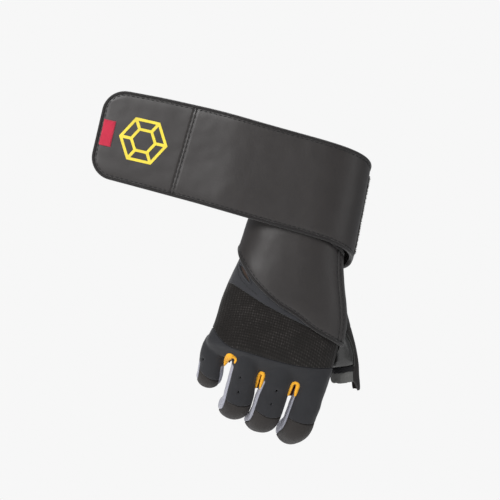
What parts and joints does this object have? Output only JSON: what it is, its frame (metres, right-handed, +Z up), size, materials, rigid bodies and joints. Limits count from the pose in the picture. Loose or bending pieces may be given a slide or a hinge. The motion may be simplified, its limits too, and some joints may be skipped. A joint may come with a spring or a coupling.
{
  "type": "weightlifting glove",
  "caption": "Fingerless right-hand lifting glove with open finger ends and a long padded wrist wrap whose free end stands out to the side.",
  "frame": {"origin": "middle of the wrist opening, where the wrist sits in the glove", "axes": "+Z up the wrist towards the forearm, -Y the side of the back of the hand, +X the thumb side; the fingers hang towards -Z"},
  "size_m": [0.2166, 0.074, 0.2149],
  "materials": {
    "wrap_leather": "smooth dark brown-black synthetic leather, satin",
    "tip_leather": "dark warm-grey leather, satin",
    "thumb_leather": "dark olive-black leather, semi-gloss",
    "palm_leather": "plain dark leather, satin",
    "knuckle_suede": "blue-black synthetic suede, matte",
    "knit_mesh": "black-brown open knit, matte",
    "cuff_neoprene": "blue-grey neoprene, matte",
    "cuff_elastic": "black elastic, matte",
    "side_grey": "silver-grey stretch fabric, soft sheen",
    "web_yellow": "yellow-orange padded trim, matte",
    "tape": "black-brown woven binding tape, matte",
    "loop_pile": "dark brown loop pile, fuzzy",
    "hook_pile": "black hook tape",
    "tag_red": "crimson woven tag, bare",
    "emblem_yellow": "flat yellow print"
  },
  "bodies": {
    "root": {"web_trim_little_ring": "web_yellow", "web_trim_ring_middle": "web_yellow", "web_trim_middle_index": "web_yellow", "side_wall_little_outer": "side_grey", "side_wall_little_ring_a": "side_grey", "side_wall_little_ring_b": "side_grey", "side_wall_ring_middle_a": "side_grey", "side_wall_ring_middle_b": "side_grey", "side_wall_middle_index_a": "side_grey", "side_wall_middle_index_b": "side_grey", "finger_cap_little": "tip_leather", "finger_cap_ring": "tip_leather", "finger_cap_middle": "tip_leather", "finger_cap_index": "tip_leather", "thumb_back": "thumb_leather", "thumb_hem": "tape", "thumb_lining": "side_grey", "thumb_palm": "palm_leather", "knuckle_panel": "knuckle_suede", "back_mesh": "knit_mesh", "cuff_back": "cuff_neoprene", "cuff_palm": "cuff_elastic", "palm_panel": "palm_leather", "wrap_strap": "wrap_leather", "wrap_binding": "tape", "wrap_loop_patch": "loop_pile", "wrap_hook_patch": "hook_pile", "wrap_tag": "tag_red", "wrap_emblem": "emblem_yellow"}
  },
  "joints": []
}
